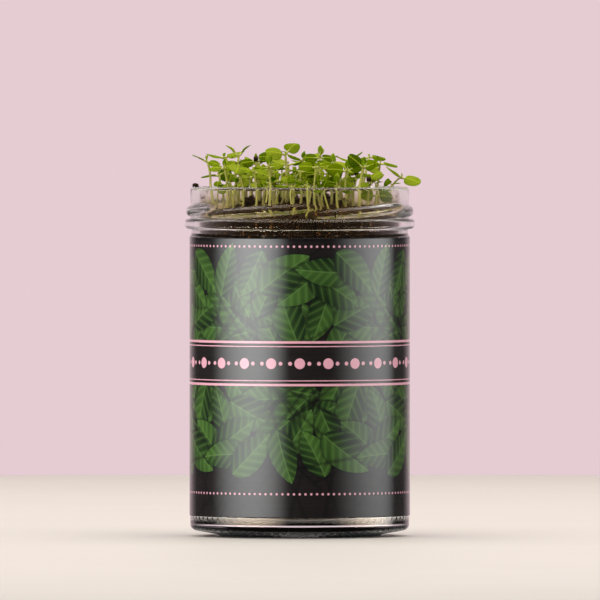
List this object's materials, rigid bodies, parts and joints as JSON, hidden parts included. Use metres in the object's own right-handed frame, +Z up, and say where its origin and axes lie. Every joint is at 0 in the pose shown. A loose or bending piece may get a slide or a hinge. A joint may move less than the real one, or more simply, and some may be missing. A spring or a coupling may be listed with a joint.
{
  "type": "seedling jar planter",
  "caption": "Straight-sided clear glass jar with a six-lug twist-off mouth and a dark wrap label, filled with growing medium and planted with a dense stand of herb seedlings.",
  "frame": {"origin": "middle of the jar's foot ring, on the plane that the jar stands on", "axes": "+Z up along the jar's axis, -Y to the front that the picture shows, +X to the right of that front"},
  "size_m": [0.0844, 0.0822, 0.141],
  "materials": {
    "jar_glass": "polished",
    "label_print": "gloss",
    "growing_medium": "matte",
    "seedling": "satin"
  },
  "bodies": {
    "root": {"glass_jar": "jar_glass", "growing_medium": "growing_medium", "rim_crumbs": "growing_medium", "seedling_01": "seedling", "seedling_02": "seedling", "seedling_03": "seedling", "seedling_04": "seedling", "seedling_05": "seedling", "seedling_06": "seedling", "seedling_07": "seedling", "seedling_08": "seedling", "seedling_09": "seedling", "seedling_10": "seedling", "seedling_11": "seedling", "seedling_12": "seedling", "seedling_13": "seedling", "seedling_14": "seedling", "seedling_15": "seedling", "seedling_16": "seedling", "seedling_17": "seedling", "seedling_18": "seedling", "seedling_19": "seedling", "seedling_20": "seedling", "seedling_21": "seedling", "seedling_22": "seedling", "seedling_23": "seedling", "seedling_24": "seedling", "seedling_25": "seedling", "seedling_26": "seedling", "seedling_27": "seedling", "seedling_28": "seedling", "seedling_29": "seedling", "seedling_30": "seedling", "seedling_31": "seedling", "seedling_32": "seedling", "seedling_33": "seedling", "seedling_34": "seedling", "seedling_35": "seedling", "seedling_36": "seedling", "seedling_37": "seedling", "seedling_38": "seedling", "seedling_39": "seedling", "seedling_40": "seedling", "seedling_41": "seedling", "seedling_42": "seedling", "seedling_43": "seedling", "seedling_44": "seedling", "seedling_45": "seedling", "seedling_46": "seedling", "seedling_47": "seedling", "seedling_48": "seedling", "seedling_49": "seedling", "seedling_50": "seedling", "seedling_51": "seedling", "seedling_52": "seedling", "seedling_53": "seedling", "seedling_54": "seedling", "surface_crumbs": "growing_medium", "wrap_label": "label_print"}
  },
  "joints": []
}
